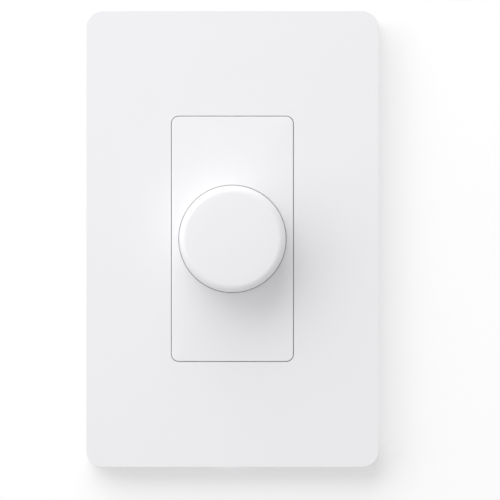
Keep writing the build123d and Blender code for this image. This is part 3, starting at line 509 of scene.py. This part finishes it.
def tighten_edge(cover, corner, old, new):
    """Makes the rounding of a cover's outer edge smaller: each ring of points moves out and forward."""
    points = [vertex.co for vertex in cover.data.vertices]
    front = min(p.y for p in points)
    middle_x = max(p.x for p in points) - corner
    middle_z = max(p.z for p in points) - corner

    def inset(point):
        return corner - math.hypot(abs(point.x) - middle_x, abs(point.z) - middle_z)

    def on_rim(point):
        at_corner = abs(point.x) > middle_x - FINE and abs(point.z) > middle_z - FINE
        return at_corner and point.y < front + old + FINE and inset(point) < old + FINE

    def on_arc(point, depth, side, end):
        return on_rim(point) and abs(point.y - depth) < FINE and point.x * side > 0 and point.z * end > 0

    rings = {round(p.y / FINE): (p.y, inset(p)) for p in points if on_rim(p)}
    for depth, gap in sorted(rings.values()):
        growth = (corner - gap * new / old) / (corner - gap)
        for side, end in CORNERS:
            pick(cover, lambda point: on_arc(point, depth, side, end))
            middle = (side * middle_x, depth, end * middle_z)
            bpy.ops.transform.resize(value=(growth, 1, growth), center_override=middle)
            bpy.ops.transform.translate(value=(0, (front - depth) * (1 - new / old), 0))
            to_object()


def narrow_well(cover, knob_radius, gap):
    """Brings the wall of the well round the knob nearer to the knob."""
    reach = 0.3 * MM  # the wall is nearer to the knob than this, and nothing else is

    def on_wall(point):
        return knob_radius < math.hypot(point.x, point.z) < knob_radius + reach

    well = max(math.hypot(v.co.x, v.co.z) for v in cover.data.vertices if on_wall(v.co))
    growth = (knob_radius + gap) / well
    pick(cover, on_wall)
    bpy.ops.transform.resize(value=(growth, 1, growth), center_override=(0, 0, 0))
    to_object()


def finish_piece(piece, finish, node, body="device"):
    """Gives a new piece its finish, hangs it on its body and hides the CAD node it stands in for."""
    piece.data.materials.clear()
    piece.data.materials.append(finish.material)
    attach(piece, body)
    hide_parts(node)


# What a user may change


def colour_property(name, description, default):
    return FloatVectorProperty(name=name, description=description, subtype="COLOR", size=3, default=default)


def length_property(name, description, default):
    return FloatProperty(
        name=name, description=description, subtype="DISTANCE", unit="LENGTH", default=default
    )


def angle_property(name, description, degrees):
    return FloatProperty(
        name=name, description=description, subtype="ANGLE", unit="ROTATION", default=math.radians(degrees)
    )


def power_property(name, description, default):
    return FloatProperty(name=name, description=description, unit="POWER", default=default)


def share_property(name, description, default):
    return FloatProperty(
        name=name, description=description, subtype="FACTOR", default=default, min=0, max=1
    )


class DimmerColours(PropertyGroup):
    plate: colour_property("Plate", "Colour of the faceplate", (0.85, 0.85, 0.868))
    insert: colour_property("Insert", "Colour of the insert", (0.855, 0.855, 0.873))
    knob: colour_property("Knob", "Colour of the knob", (0.85, 0.85, 0.868))
    housing: colour_property("Housing", "Colour of the rear housing", (0.045, 0.047, 0.05))
    board: colour_property("Boards", "Colour of the boards' lacquer", (0.02, 0.16, 0.07))


class DimmerEdges(PropertyGroup):
    plate_edge: length_property("Plate edge", "Radius of the faceplate's outer edge", 0.12 * MM)
    knob_gap: length_property("Knob gap", "From the knob's rear edge to the wall of its well", 0.09 * MM)


class DimmerStage(PropertyGroup):
    distance: length_property("Camera distance", "From the plate to the camera", 1.5)
    view_width: length_property("View width", "What the picture covers at the plate", 0.1355)
    view_right: length_property("View right", "How far right of the middle the camera stands", 4.76 * MM)
    view_down: length_property("View down", "How far below the middle the camera stands", 3.02 * MM)
    lamp_distance: length_property("Lamp distance", "From the part to each lamp", 1.2)
    key_power: power_property("Key lamp", "Power of the key lamp", 13.0)
    key_size: length_property("Key size", "Width of the key lamp", 1.5)
    key_slope: angle_property("Key slope", "How far the key lamp stands off the wall's normal", 60)
    key_lean: angle_property("Key lean", "How far the key lamp stands left of straight up", 27)
    side_power: power_property("Side lamp", "Power of the weak lamp at the left", 2.4)
    side_size: length_property("Side size", "Width of the side lamp", 0.8)
    side_slope: angle_property("Side slope", "How far the side lamp stands off the wall's normal", 62)
    side_lean: angle_property("Side lean", "How far the side lamp stands left of straight up", 88)
    back_power: power_property("Back lamp", "Power of the lamp behind the wall", 15.0)
    back_size: length_property("Back size", "Width of the back lamp", 1.5)
    ambient: share_property("Soft light", "Strength of the even light from all round", 0.616)
    wall_lift: share_property("Wall lift", "Light of the wall's own, which whitens it", 0.15)


# Operators


class DIMMER_OT_covers(Operator):
    """Finish the faceplate, the insert, the knob and the mounting plate as white mouldings"""

    bl_idname = "dimmer.covers"
    bl_label = "Covers"

    def execute(self, context):
        self.faceplate(context)
        self.insert(context)
        self.knob(context)
        tray_white = shade(tuple(context.scene.dimmer_colours.plate), 0.93)
        tray = moulded("white matt tray", tray_white, 0.6, grain=1800, depth=20 * MICRON)
        tray.dress("mounting_plate")
        return {"FINISHED"}

    def faceplate(self, context):
        cad_corner = 4.6 * MM
        cad_edge = 0.7 * MM
        plate = moulded("white satin plate", tuple(context.scene.dimmer_colours.plate), 0.42)
        cover = smooth_copy("faceplate", "satin_cover")
        tighten_edge(cover, cad_corner, cad_edge, context.scene.dimmer_edges.plate_edge)
        with_modifier(cover, "WEIGHTED_NORMAL", weight=100, keep_sharp=True)
        finish_piece(cover, plate, "faceplate")

    def insert(self, context):
        insert = smooth_copy("insert", "satin_insert")
        narrow_well(insert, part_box("knob")[1].x, context.scene.dimmer_edges.knob_gap)
        satin = moulded("white satin insert", tuple(context.scene.dimmer_colours.insert), 0.45, grain=6000)
        finish_piece(insert, satin, "insert")

    def knob(self, context):
        white = tuple(context.scene.dimmer_colours.knob)
        smooth = moulded("white smooth knob", white, 0.34, grain=7000, depth=3 * MICRON)
        finish_piece(smooth_copy("knob", "turned_knob"), smooth, "knob", "knob")


class DIMMER_OT_metalwork(Operator):
    """Finish the yoke, the terminals, the springs and the encoder's metal parts"""

    bl_idname = "dimmer.metalwork"
    bl_label = "Metalwork"

    def execute(self, context):
        level = (1, 0.03, 1)
        metal("zinc plated strap", (0.70, 0.70, 0.68), 0.34).dress("yoke")
        can = metal("tinned can", (0.74, 0.74, 0.73), 0.28, streak=(0.02, 1, 1))
        can.dress("radio_shield", "encoder_frame")
        nut = metal("plated nut", (0.66, 0.66, 0.63), 0.3, streak=(1, 0.05, 1), scale=900)
        nut.dress("encoder_nut", "encoder_washer")
        even = {"streak": (1, 1, 1), "scale": 1500, "depth": 6 * MICRON, "mottle": 0.2}
        cast = metal("die cast zinc", (0.60, 0.60, 0.60), 0.42, **even)
        cast.dress("encoder_bushing", "encoder_shaft")
        spring = metal("spring steel", (0.58, 0.58, 0.58), 0.24, streak=level)
        spring.dress("knob_clip", "detent_spring")
        self.dome(spring)
        metal("stamped brass", (0.78, 0.56, 0.24), 0.3, streak=level).dress("terminal_brackets")
        metal("nickel plate", (0.72, 0.70, 0.66), 0.22, streak=level, scale=1800).dress("clamp_plates")
        metal("bright tin", (0.78, 0.78, 0.75), 0.3).dress("encoder_pins")
        return {"FINISHED"}

    def dome(self, spring):
        """The snap dome under the shaft: a smooth copy of the CAD's with the spring's finish. How much of
        its height a press would leave is worked out but not used.
        """
        dome = smooth_copy("push_dome", "snap_dome")
        finish_piece(dome, spring, "push_dome")
        low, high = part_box("push_dome")
        joints = frame["record"]["behaviour"]["joints"]
        press = next(joint for joint in joints if joint["name"] == "knob_press")
        left = 1 - press["range_m"][1] / (high.y - low.y)
        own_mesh(dome)


class DIMMER_OT_mouldings(Operator):
    """Finish the rear housing, the encoder's mouldings, the fibre retainers and the pad"""

    bl_idname = "dimmer.mouldings"
    bl_label = "Inner mouldings"

    def execute(self, context):
        dark = tuple(context.scene.dimmer_colours.housing)
        housing = moulded("dark textured housing", dark, 0.55, grain=1500, depth=16 * MICRON)
        housing.dress("rear_housing")
        case = moulded("black encoder case", (0.018, 0.018, 0.02), 0.4, grain=3000, depth=6 * MICRON)
        case.dress("encoder_base")
        rotor = moulded("cream rotor", (0.72, 0.68, 0.55), 0.3, grain=5000, depth=2 * MICRON)
        rotor.dress("encoder_rotor")
        pad = moulded("soft grey pad", (0.36, 0.38, 0.41), 0.75, grain=2200, depth=10 * MICRON)
        pad.dress("thermal_pad")
        self.fibre()
        return {"FINISHED"}

    def fibre(self):
        fibre = Finish("pressed fibre", (0.42, 0.13, 0.05), 0.8)
        threads = fibre.noise(900, 4, (1, 1, 0.15))
        fibre.paint(
            colour=fibre.blend(threads, (0.30, 0.08, 0.03), (0.52, 0.19, 0.08)),
            roughness=0.65 + 0.2 * threads,
        )
        fibre.bumps(threads, 30 * MICRON)
        fibre.dress("screw_retainers")


class DIMMER_OT_boards(Operator):
    """Finish the three boards with lacquer, copper tracks and tinned pads"""

    bl_idname = "dimmer.boards"
    bl_label = "Boards"

    def execute(self, context):
        green = tuple(context.scene.dimmer_colours.board)
        board = Finish("green lacquered board", green, 0.3, coat=0.35)
        x, z = board.axis("X"), board.axis("Z")
        flat = board.node("ShaderNodeCombineXYZ", sockets={0: x, 1: z})
        tracks = self.tracks(board, flat, x, z)
        pads = self.pads(board, flat)
        weave = board.noise(2500, 2, (1, 1, 0.3))
        lacquer = board.blend(weave, shade(green, 0.8), shade(green, 1.15))
        copper = board.blend(tracks, lacquer, (0.06, 0.30, 0.12))
        board.paint(
            colour=board.blend(pads, copper, (0.72, 0.72, 0.68)),
            metallic=pads * 0.9,
            roughness=0.26 + 0.1 * weave,
        )
        board.bumps(0.6 * tracks + pads, 30 * MICRON)
        board.dress("control_board", "radio_board", "power_board")
        return {"FINISHED"}

    def tracks(self, board, flat, x, z):
        """Bundles of parallel tracks that run upright in some regions and across in the others."""
        regions_per_metre = 130
        pitch = 1.1 * MM
        bare = 0.32  # how far the lacquer without copper reaches from the middle of a gap, in pitches
        regions = board.node(
            "ShaderNodeTexVoronoi",
            {"voronoi_dimensions": "2D", "distance": "CHEBYCHEV"},
            {"Vector": flat, "Scale": regions_per_metre, "Randomness": 0.9},
            output="Color",
        )
        upright = board.node("ShaderNodeSeparateColor", sockets={0: regions}) > 0.5
        across = z + upright * (x - z)
        return board.maths("PINGPONG", across / pitch, 0.5) > bare

    def pads(self, board, flat):
        """Round tinned pads, in a loose grid."""
        pads_per_metre = 290
        rim, full = 0.2, 0.16  # how far from its middle a pad begins and is all tin, in cells
        cells = board.node(
            "ShaderNodeTexVoronoi",
            {"voronoi_dimensions": "2D"},
            {"Vector": flat, "Scale": pads_per_metre, "Randomness": 0.35},
        )
        return board.sharpen(cells, rim, full)


class DIMMER_OT_components(Operator):
    """Finish what is soldered to the boards"""

    bl_idname = "dimmer.components"
    bl_label = "Components"

    def execute(self, context):
        board_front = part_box("power_board")[0].y
        self.magnetics(board_front)
        self.capacitors()
        self.fuse(board_front)
        self.varistor()
        self.transistors()
        self.chip()
        self.link()
        return {"FINISHED"}

    def magnetics(self, board_front):
        base = 0.82 * MM  # how far the transformer's black base stands off the board
        ferrite = moulded("sintered ferrite", (0.045, 0.045, 0.048), 0.6, grain=3500, depth=25 * MICRON)
        ferrite.dress("choke_core", "transformer_core")
        wire = metal("enamelled copper", (0.68, 0.26, 0.10), 0.22, streak=(1, 1, 1), scale=900)
        wire.feed(wire.shader, {"Coat Weight": 0.6})
        wire.dress("choke_winding")
        tape = moulded("yellow tape", (0.80, 0.56, 0.08), 0.32, grain=900, depth=4 * MICRON)
        two_tone(tape, tape.axis("Y") > board_front - base, (0.02, 0.02, 0.02), 0.5, 0.0)
        tape.dress("transformer_bobbin")

    def capacitors(self):
        film = moulded("yellow capacitor case", (0.78, 0.50, 0.05), 0.38, grain=2600, depth=8 * MICRON)
        film.dress("film_capacitor")

        top = 0.1 * MM  # of a can, bare inside its sleeve's edge
        sleeve_edge = 0.6 * MM
        stripe_from = 0.7  # of the way from the middle of the cans to their upper side
        low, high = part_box("bulk_capacitors")
        middle = (low.z + high.z) / 2
        can = moulded("dark sleeve", (0.02, 0.03, 0.06), 0.3, grain=1200, depth=4 * MICRON)
        y, z = can.axis("Y"), can.axis("Z")
        stripe = (z > middle + stripe_from * (high.z - middle)) * (y > low.y + sleeve_edge)
        two_tone(can, stripe, (0.55, 0.57, 0.6), 0.35, 0.0)
        two_tone(can, y < low.y + top, (0.72, 0.72, 0.72), 0.35)
        can.dress("bulk_capacitors")

    def fuse(self, board_front):
        leads = 0.98 * MM  # how far the fuse's leads show off the board
        fuse = moulded("brown fuse case", (0.10, 0.045, 0.025), 0.42, grain=2600, depth=8 * MICRON)
        two_tone(fuse, fuse.axis("Y") > board_front - leads, TIN, 0.3)
        fuse.dress("fuse")

    def varistor(self):
        """A round disc, so it is as deep as it is wide, and what is deeper is its leads."""
        low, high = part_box("varistor")
        foot = low.y + (high.x - low.x)
        disc = moulded("blue dipped disc", (0.03, 0.09, 0.34), 0.24, grain=700, depth=30 * MICRON, coat=0.5)
        two_tone(disc, disc.axis("Y") > foot, TIN, 0.3)
        disc.dress("varistor")

    def transistors(self):
        leads = 5.99 * MM
        case_top = 15.01 * MM  # above it is the bare metal tab
        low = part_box("power_transistors")[0].z
        black = moulded("black package", (0.015, 0.015, 0.016), 0.45, grain=4200, depth=7 * MICRON)
        z = black.axis("Z")
        two_tone(black, (z < low + leads) + (z > low + case_top), TIN, 0.32)
        black.dress("power_transistors")

    def chip(self):
        """A square case, so what lies further from its middle than half its width is leads."""
        low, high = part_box("controller_chip")
        case = (high.x - low.x) / 2 + 0.01 * MM
        chip = moulded("black chip", (0.017, 0.017, 0.018), 0.5, grain=5200, depth=6 * MICRON)
        two_tone(chip, abs(chip.axis("Z") - (low.z + high.z) / 2) > case, TIN, 0.3)
        chip.dress("controller_chip")

    def link(self):
        strip = 2.51 * MM  # how deep the plastic strip is, with the bare pins behind it
        link = moulded("black pin strip", (0.02, 0.02, 0.02), 0.45, grain=2600, depth=8 * MICRON)
        two_tone(link, link.axis("Y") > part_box("board_link")[0].y + strip, (0.8, 0.6, 0.28), 0.25)
        link.dress("board_link")


class DIMMER_OT_screws(Operator):
    """Model the screws with their threads and recesses, in place of the CAD's plain ones"""

    bl_idname = "dimmer.screws"
    bl_label = "Screws"

    def execute(self, context):
        white = tuple(context.scene.dimmer_colours.plate)
        steel = turned_metal("zinc plated screw", (0.68, 0.68, 0.66), 0.3, depth=3 * MICRON)
        brass = turned_metal("turned brass", (0.80, 0.58, 0.25), 0.26)
        nickel = turned_metal("nickelled screw", (0.74, 0.72, 0.68), 0.24)
        green = turned_metal("green dyed screw", (0.04, 0.30, 0.10), 0.34)
        painted = moulded("white painted screw", white, 0.35, grain=3000, depth=6 * MICRON)
        inch_pitch = 0.794 * MM  # 32 threads to the inch
        self.box_screws(steel, inch_pitch)
        self.plate_screws(painted, inch_pitch)
        self.terminal_screws(brass, nickel, green, inch_pitch)
        self.housing_screws(steel)
        self.board_screws(steel)
        self.transistor_screws(steel)
        return {"FINISHED"}

    def box_screws(self, steel, pitch):
        low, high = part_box("box_screws")
        size = ScrewSize(
            head=(high.x - low.x) / 2,
            height=1.9 * MM,
            radius=1.75 * MM,
            length=25.4 * MM,
            pitch=pitch,
            neck=1.3 * MM,
            neck_length=2.7 * MM,
            recess=2.0 * MM,
            recess_depth=1.4 * MM,
            slot=0.9 * MM,
        )
        places = [((0, low.y + size.height, side * (high.z - size.head)), INTO_WALL) for side in SIDES]
        self.place(size, "box_screw", steel, "box_screws", "screw_steel", places)

    def plate_screws(self, painted, pitch):
        low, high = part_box("plate_screws")
        size = ScrewSize(
            head=(high.x - low.x) / 2,
            height=1.1 * MM,
            radius=1.75 * MM,
            length=7.5 * MM,
            pitch=pitch,
            recess_depth=0.9 * MM,
            slot=0.9 * MM,
        )
        places = [((0, low.y + size.height, side * (high.z - size.head)), INTO_WALL) for side in SIDES]
        self.place(size, "plate_screw", painted, "plate_screws", "screw_white", places)

    def terminal_screws(self, brass, nickel, green, pitch):
        """The four wire screws, of which the first is nickelled, and the ground screw."""
        low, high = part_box("brass_screws")
        size = ScrewSize(
            head=(high.y - low.y) / 2,
            height=2.2 * MM,
            radius=2.0 * MM,
            length=5.4 * MM,
            pitch=pitch,
            recess=2.2 * MM,
            recess_depth=1.5 * MM,
            slot=1.1 * MM,
        )
        seat = high.x - size.height
        depth = (high.y + low.y) / 2
        rise = high.z - size.head
        places = [((side * seat, depth, end * rise), (-side, 0, 0)) for side, end in CORNERS]
        self.place(size, "brass_screw", brass, "brass_screws", "brass", places[1:])
        self.place(size, "silver_screw", nickel, "silver_screw", "nickel", places[:1])

        low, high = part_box("ground_screw")
        longer = replace(size, radius=2.05 * MM, length=7.0 * MM, head=(high.y - low.y) / 2)
        place = (low.x + longer.height, (low.y + high.y) / 2, (low.z + high.z) / 2)
        self.place(longer, "ground_screw_green", green, "ground_screw", "screw_green", [(place, (1, 0, 0))])

    def housing_screws(self, steel):
        low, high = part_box("housing_screws")
        size = ScrewSize(
            head=2.6 * MM,
            cone=1.15 * MM,
            radius=1.45 * MM,
            length=10 * MM,
            pitch=1.1 * MM,
            recess=1.5 * MM,
            recess_depth=1.2 * MM,
        )
        across, rise = high.x - size.head, high.z - size.head
        places = [((side * across, low.y, end * rise), INTO_WALL) for side, end in CORNERS]
        self.place(size, "housing_screw", steel, "housing_screws", "screw_steel", places)

    def board_screws(self, steel):
        """Four screws hold the power board on its posts, and two the control board on its pillars."""
        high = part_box("board_screws")[1]
        size = ScrewSize(
            head=1.9 * MM,
            height=1.3 * MM,
            radius=1.0 * MM,
            length=5.5 * MM,
            pitch=0.6 * MM,
            recess=1.1 * MM,
            recess_depth=0.9 * MM,
        )
        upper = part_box("control_board")[0].y
        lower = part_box("power_board")[0].y
        post = 16.198 * MM  # how far right and left of the middle the housing's posts stand
        pillar = high.x - size.head
        rise = high.z - size.head
        places = [((side * post, lower, end * rise), INTO_WALL) for side, end in CORNERS]
        places += [((side * pillar, upper, 0), INTO_WALL) for side in SIDES]
        self.place(size, "board_screw", steel, "board_screws", "screw_steel", places)

    def transistor_screws(self, steel):
        low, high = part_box("transistor_screws")
        size = ScrewSize(
            head=2.7 * MM,
            height=1.9 * MM,
            radius=1.5 * MM,
            length=3.1 * MM,
            pitch=0.5 * MM,
            recess=1.6 * MM,
            recess_depth=1.2 * MM,
        )
        across = high.x - size.head
        seat = high.y - size.height
        middle = (low.z + high.z) / 2
        places = [((side * across, seat, middle), (0, -1, 0)) for side in SIDES]
        self.place(size, "transistor_screw", steel, "transistor_screws", "screw_steel", places)

    def place(self, size, name, finish, node, slot, places):
        """Models one screw and copies it to each of its places, turned a little differently in each."""
        first_roll, next_roll = 27, 61
        pattern = make_screw(name, size)
        for count, (point, direction) in enumerate(places):
            copy = drive(pattern, f"{name}_{count + 1}", point, direction, first_roll + next_roll * count)
            finish_piece(copy, finish, node)
        bpy.data.objects.remove(pattern, do_unlink=True)


class DIMMER_OT_stage(Operator):
    """Put up the wall, the lamps, the soft light and the camera"""

    bl_idname = "dimmer.stage"
    bl_label = "Stage"

    def execute(self, context):
        settings = context.scene.dimmer_stage
        self.add_camera(context, settings)
        self.add_wall(settings)
        self.add_lamps(settings)
        self.add_world(context, settings)
        context.scene.view_settings.view_transform = "Standard"
        return {"FINISHED"}

    def add_camera(self, context, settings):
        """Looks straight at the wall, from so far off that the object shows nearly without perspective."""
        plate_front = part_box("faceplate")[0].y
        place = (settings.view_right, plate_front - settings.distance, -settings.view_down)
        bpy.ops.object.camera_add(location=place, rotation=(math.radians(90), 0, 0))
        camera = context.object
        camera.name = "camera"
        camera.data.lens = camera.data.sensor_width * settings.distance / settings.view_width
        camera.data.clip_start = 0.01
        context.scene.camera = camera

    def add_wall(self, settings):
        """A wall that the camera sees from the front only, so that it can look at the part's back."""
        width = 4
        behind_plate = 0.02 * MM
        upright = (math.radians(90), 0, 0)
        bpy.ops.mesh.primitive_plane_add(size=width, location=(0, behind_plate, 0), rotation=upright)
        wall = bpy.context.object
        wall.name = "wall"
        finish = Finish("white painted wall", (0.86, 0.86, 0.86), 0.9)
        skin = finish.noise(700, 3)
        finish.paint(colour=finish.blend(skin, (0.855, 0.855, 0.855), (0.865, 0.865, 0.865)))
        finish.feed(finish.shader, {"Emission Color": WHITE, "Emission Strength": settings.wall_lift})
        looked_at = finish.node("ShaderNodeLightPath", output="Is Camera Ray")
        behind = finish.node("ShaderNodeNewGeometry", output="Backfacing")
        clear = finish.node("ShaderNodeBsdfTransparent")
        mixed = {0: looked_at > behind, 1: clear, 2: finish.shown}
        finish.feed(finish.end, {"Surface": finish.node("ShaderNodeMixShader", sockets=mixed)})
        wall.data.materials.append(finish.material)

    def add_lamps(self, settings):
        key = self.in_front(settings.key_slope, settings.key_lean)
        side = self.in_front(settings.side_slope, settings.side_lean)
        behind = Vector((0.5, 0.75, 0.6)).normalized()
        for name, direction, power, size in (
            ("key", key, settings.key_power, settings.key_size),
            ("side", side, settings.side_power, settings.side_size),
            ("back", behind, settings.back_power, settings.back_size),
        ):
            bpy.ops.object.light_add(type="AREA", location=direction * settings.lamp_distance)
            lamp = bpy.context.object
            lamp.name = name
            lamp.rotation_euler = direction.to_track_quat("Z", "Y").to_euler()
            lamp.data.energy = power
            lamp.data.size = size

    def in_front(self, slope, lean):
        """The way to a lamp in front of the wall: slope off its normal, lean left of straight up."""
        out = math.sin(slope)
        return Vector((-out * math.sin(lean), -math.cos(slope), out * math.cos(lean)))

    def add_world(self, context, settings):
        """White where it is seen or mirrored, and a weaker even light on everything else."""
        world = bpy.data.worlds.new("white room")
        context.scene.world = world
        room = Nodes(world)
        seen = room.node("ShaderNodeLightPath", output="Is Camera Ray")
        mirrored = room.node("ShaderNodeLightPath", output="Is Glossy Ray")
        through = room.node("ShaderNodeLightPath", output="Is Transmission Ray")
        ends = {"Value": seen + mirrored + through, "To Min": settings.ambient, "To Max": 1}
        strength = room.node("ShaderNodeMapRange", {"clamp": True}, ends)
        white = room.node("ShaderNodeBackground", sockets={"Color": WHITE, "Strength": strength})
        room.add("ShaderNodeOutputWorld", sockets={"Surface": white})


class VIEW3D_PT_dimmer(Panel):
    bl_label = "Wall dimmer"
    bl_idname = "VIEW3D_PT_dimmer"
    bl_space_type = "VIEW_3D"
    bl_region_type = "UI"
    bl_category = "Dimmer"

    def draw(self, context):
        scene = context.scene
        for group in (scene.dimmer_colours, scene.dimmer_edges, scene.dimmer_stage):
            box = self.layout.box()
            for name in group.bl_rna.properties.keys():
                if name not in ("rna_type", "name"):
                    box.prop(group, name)
        for step in steps:
            self.layout.operator(step.bl_idname)


groups = (DimmerColours, DimmerEdges, DimmerStage)
steps = (
    DIMMER_OT_covers,
    DIMMER_OT_metalwork,
    DIMMER_OT_mouldings,
    DIMMER_OT_boards,
    DIMMER_OT_components,
    DIMMER_OT_screws,
    DIMMER_OT_stage,
)
classes = (*groups, *steps, VIEW3D_PT_dimmer)


def register():
    for kind in classes:
        bpy.utils.register_class(kind)
    bpy.types.Scene.dimmer_colours = PointerProperty(type=DimmerColours)
    bpy.types.Scene.dimmer_edges = PointerProperty(type=DimmerEdges)
    bpy.types.Scene.dimmer_stage = PointerProperty(type=DimmerStage)


def unregister():
    del bpy.types.Scene.dimmer_stage
    del bpy.types.Scene.dimmer_edges
    del bpy.types.Scene.dimmer_colours
    for kind in reversed(classes):
        bpy.utils.unregister_class(kind)


def main():
    register()
    bpy.ops.dimmer.covers()
    bpy.ops.dimmer.metalwork()
    bpy.ops.dimmer.mouldings()
    bpy.ops.dimmer.boards()
    bpy.ops.dimmer.components()
    bpy.ops.dimmer.screws()
    bpy.ops.dimmer.stage()


if __name__ == "__main__":
    main()
